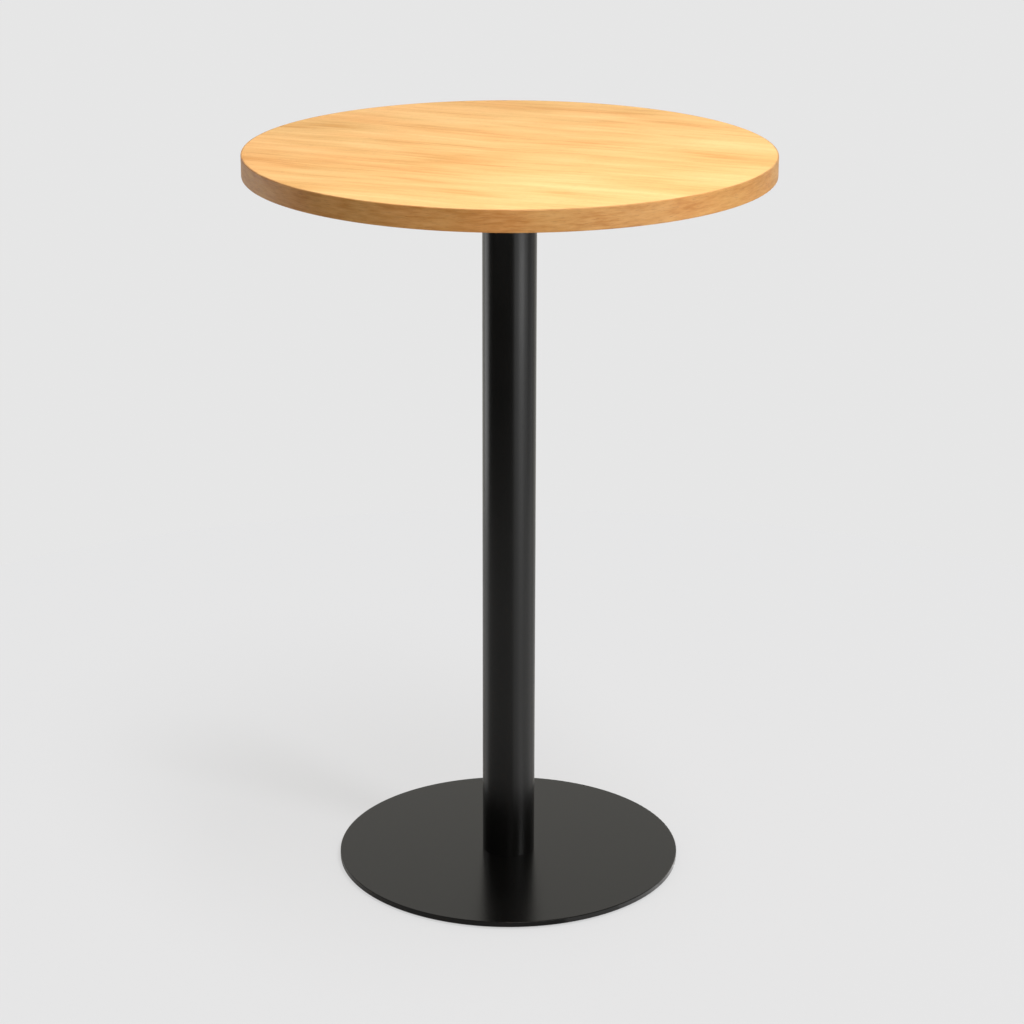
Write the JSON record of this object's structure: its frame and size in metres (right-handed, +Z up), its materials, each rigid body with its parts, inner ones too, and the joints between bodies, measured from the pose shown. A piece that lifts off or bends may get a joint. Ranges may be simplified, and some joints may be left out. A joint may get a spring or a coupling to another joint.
{
  "type": "pub table",
  "caption": "Tall round pub table: oak-veneered top with a wooden edge band on a slim black steel column and a flat round base disc with screw-adjustable glides.",
  "frame": {"origin": "centre of the base on the floor, on the column's axis", "axes": "+Z up the column; +X to the right and -Y towards the viewer, with the glides on the diagonals between the axes"},
  "size_m": [0.7429, 0.743, 1.07],
  "materials": {
    "oak_top": "satin lacquer",
    "oak_underside": "matt",
    "oak_edge": "satin lacquer",
    "chipboard": "raw",
    "black_coat_base": "satin powder coat",
    "black_coat_column": "satin powder coat",
    "black_coat_plate": "satin powder coat",
    "raw_steel": "as turned",
    "zinc_steel": "zinc plated",
    "black_screw": "black oxide",
    "insert_brass": "plain",
    "nylon": "matt"
  },
  "bodies": {
    "stand": {"top_core": "chipboard", "top_veneer": "oak_top", "underside_veneer": "oak_underside", "edge_band": "oak_edge", "top_inserts": "insert_brass", "top_bolts": "zinc_steel", "top_washers": "zinc_steel", "mounting_plate": "black_coat_plate", "plate_screws": "zinc_steel", "column_top_plug": "raw_steel", "column_tube": "black_coat_column", "column_base_plug": "raw_steel", "base_plate": "black_coat_base", "base_screws": "black_screw"},
    "pad_1": {"glide_pad_1": "nylon"},
    "stud_1": {"glide_stud_1": "zinc_steel"},
    "pad_2": {"glide_pad_2": "nylon"},
    "stud_2": {"glide_stud_2": "zinc_steel"},
    "pad_3": {"glide_pad_3": "nylon"},
    "stud_3": {"glide_stud_3": "zinc_steel"},
    "pad_4": {"glide_pad_4": "nylon"},
    "stud_4": {"glide_stud_4": "zinc_steel"}
  },
  "joints": [
    {"name": "glide_1_lift", "type": "slide", "parent": "stand", "child": "pad_1", "axis": [0, 0, -1], "range_m": [0, 0.003]},
    {"name": "glide_1_turn", "type": "hinge", "parent": "pad_1", "child": "stud_1", "pos_m": [0.15344, 0.15344, 0], "axis": [0, 0, -1], "range_deg": [0, 864]},
    {"name": "glide_2_lift", "type": "slide", "parent": "stand", "child": "pad_2", "axis": [0, 0, -1], "range_m": [0, 0.003]},
    {"name": "glide_2_turn", "type": "hinge", "parent": "pad_2", "child": "stud_2", "pos_m": [-0.15344, 0.15344, 0], "axis": [0, 0, -1], "range_deg": [0, 864]},
    {"name": "glide_3_lift", "type": "slide", "parent": "stand", "child": "pad_3", "axis": [0, 0, -1], "range_m": [0, 0.003]},
    {"name": "glide_3_turn", "type": "hinge", "parent": "pad_3", "child": "stud_3", "pos_m": [-0.15344, -0.15344, 0], "axis": [0, 0, -1], "range_deg": [0, 864]},
    {"name": "glide_4_lift", "type": "slide", "parent": "stand", "child": "pad_4", "axis": [0, 0, -1], "range_m": [0, 0.003]},
    {"name": "glide_4_turn", "type": "hinge", "parent": "pad_4", "child": "stud_4", "pos_m": [0.15344, -0.15344, 0], "axis": [0, 0, -1], "range_deg": [0, 864]}
  ],
  "couplings": [
    {"joint": "glide_1_lift", "follows": "glide_1_turn", "m_per_rad": 0.00019894},
    {"joint": "glide_2_lift", "follows": "glide_2_turn", "m_per_rad": 0.00019894},
    {"joint": "glide_3_lift", "follows": "glide_3_turn", "m_per_rad": 0.00019894},
    {"joint": "glide_4_lift", "follows": "glide_4_turn", "m_per_rad": 0.00019894}
  ]
}
